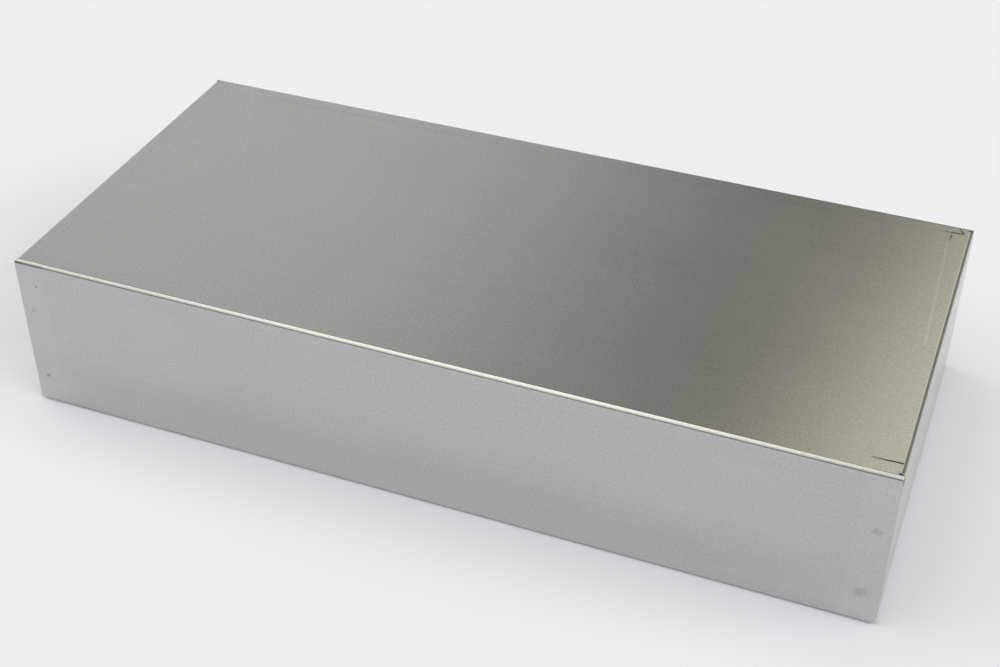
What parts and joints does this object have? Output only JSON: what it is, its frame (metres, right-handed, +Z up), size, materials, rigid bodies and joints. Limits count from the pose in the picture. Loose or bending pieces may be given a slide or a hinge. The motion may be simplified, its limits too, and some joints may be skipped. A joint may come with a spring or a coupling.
{
  "type": "sheet metal chassis",
  "caption": "Open-bottomed aluminium case folded from sheet, with return lips round its open side and spot-welded corner tabs, for mounting electronic equipment.",
  "frame": {"origin": "middle of the open side, in the plane of the rim that the case stands on", "axes": "+X along the length, +Y from the front wall to the back wall, +Z up to the closed top plate"},
  "size_m": [0.381, 0.1778, 0.0762],
  "materials": {
    "mill_aluminium": "mill finish with fine rolling grain along the length, faint press-tool lines beside the folds"
  },
  "bodies": {
    "root": {"chassis": "mill_aluminium"}
  },
  "joints": []
}
